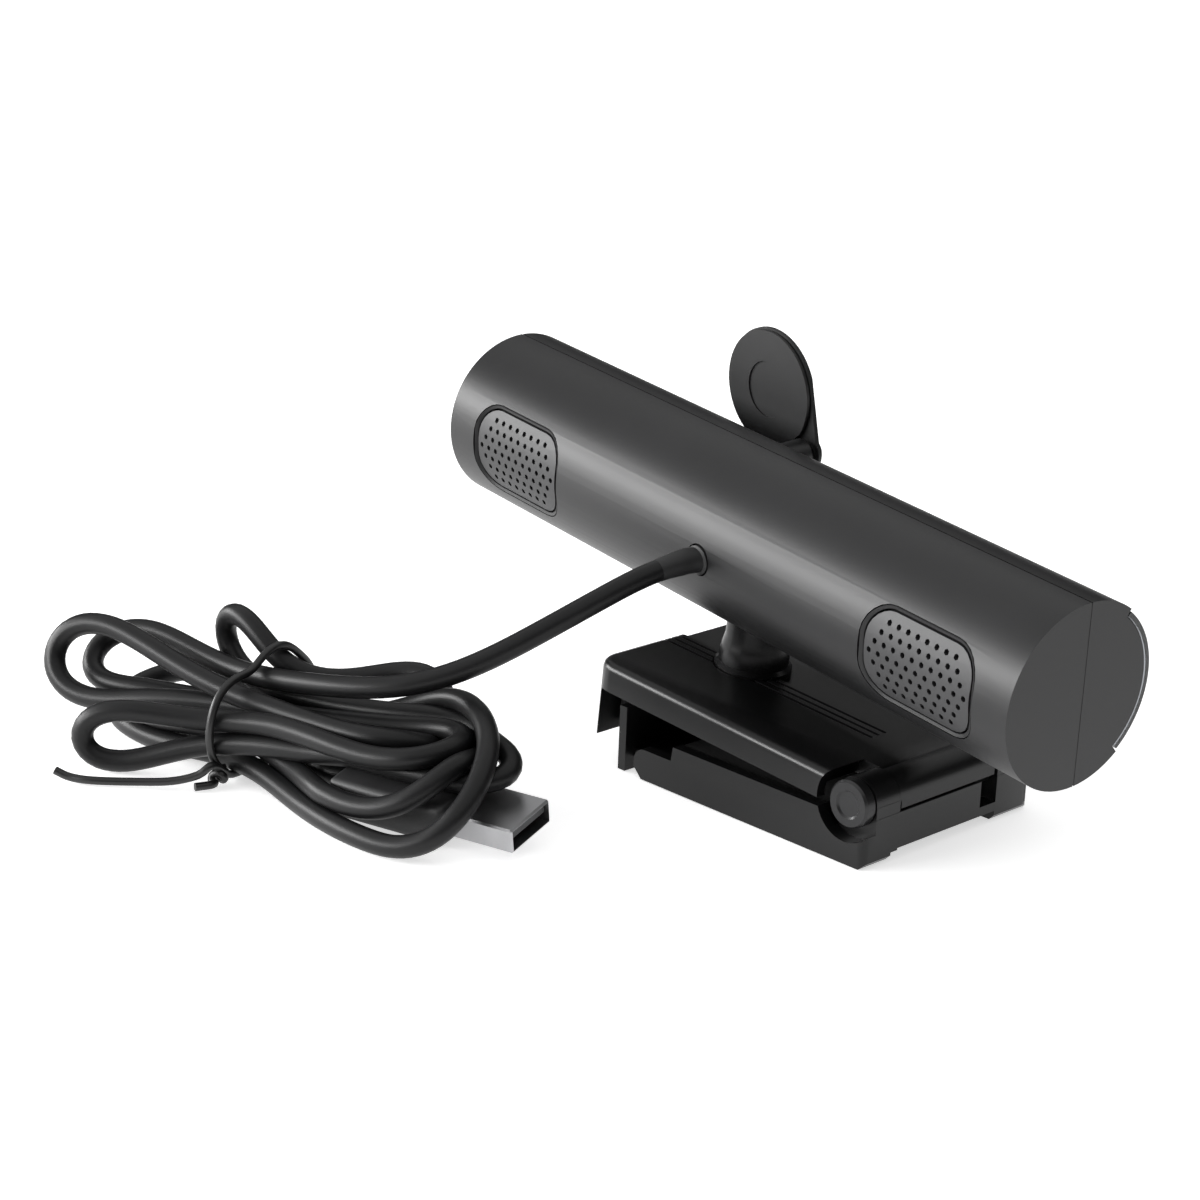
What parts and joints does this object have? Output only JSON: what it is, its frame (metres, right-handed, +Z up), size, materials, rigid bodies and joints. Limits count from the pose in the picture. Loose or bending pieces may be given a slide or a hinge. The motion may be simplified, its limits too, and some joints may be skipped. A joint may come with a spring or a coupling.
{
  "type": "webcam",
  "caption": "Cylindrical webcam with rear speaker grilles, a swinging lens cover, a folding monitor clip and a bundled USB cable.",
  "frame": {"origin": "centre of the camera and clip's bounding box, without the cable, on the table", "axes": "+X along the folded clip from its hinge to its lip, -Y out of the lens, +Z up"},
  "size_m": [0.1803, 0.1371, 0.076],
  "materials": {
    "shell_black": "satin moulded plastic",
    "window_clear": "clear glossy plastic",
    "grille_black": "fine satin",
    "speaker_paper": "matt cone",
    "board_green": "solder mask",
    "sensor_glass": "polished",
    "steel": "plain turned steel",
    "holder_black": "matt moulded",
    "barrel_black": "satin",
    "lens_glass": "coated and polished",
    "bezel_black": "polished moulding",
    "mic_can": "plated can",
    "led_lens": "frosted light pipe",
    "gland_rubber": "matt",
    "cover_black": "fine satin",
    "neck_black": "semi-gloss moulding",
    "clip_black": "semi-gloss moulding",
    "pad_rubber": "matt",
    "pin_black": "blackened",
    "plug_steel": "bright plated steel",
    "tongue_plastic": "moulded",
    "overmould_black": "matt moulded",
    "cable_black": "smooth jacket",
    "tie_black": "coated wire"
  },
  "bodies": {
    "camera": {"rear_shell": "shell_black", "front_shell": "shell_black", "front_window": "window_clear", "grille_left": "grille_black", "grille_right": "grille_black", "speaker_left": "speaker_paper", "speaker_right": "speaker_paper", "main_board": "board_green", "sensor_board": "board_green", "image_sensor": "sensor_glass", "board_screw_left": "steel", "board_screw_right": "steel", "lens_holder": "holder_black", "lens_barrel": "barrel_black", "lens_glass": "lens_glass", "lens_bezel": "bezel_black", "mic_left": "mic_can", "mic_right": "mic_can", "status_led": "led_lens", "cable_gland": "gland_rubber", "cover_boss": "shell_black", "cover_pin": "steel", "neck_post": "neck_black", "swivel_screw": "steel", "swivel_washer": "steel", "usb_shell": "plug_steel", "usb_tongue": "tongue_plastic", "usb_overmould": "overmould_black", "cable_hank": "cable_black", "cable_lead": "cable_black", "twist_tie": "tie_black"},
    "cover": {"privacy_cover": "cover_black", "cover_backing": "cover_black"},
    "clip_plate": {"clip_plate": "clip_black", "lip_pad": "pad_rubber", "plate_pad": "pad_rubber"},
    "clip_leg": {"clip_leg": "clip_black", "leg_pad": "pad_rubber", "hinge_pin": "pin_black", "pin_clip": "steel"}
  },
  "joints": [
    {"name": "clip_swivel", "type": "hinge", "parent": "camera", "child": "clip_plate", "pos_m": [-0.00003, -0.0002, 0.0429], "axis": [-0.0795, 0, 0.9968], "range_deg": [-90, 90]},
    {"name": "leg_fold", "type": "hinge", "parent": "clip_plate", "child": "clip_leg", "pos_m": [-0.04173, -0.0002, 0.0106], "axis": [0, 1, 0], "range_deg": [0, 90]},
    {"name": "cover_swing", "type": "hinge", "parent": "camera", "child": "cover", "pos_m": [0.01023, -0.00059, 0.05291], "axis": [-0.1142, -0.9904, 0.0783], "range_deg": [0, 180]}
  ]
}
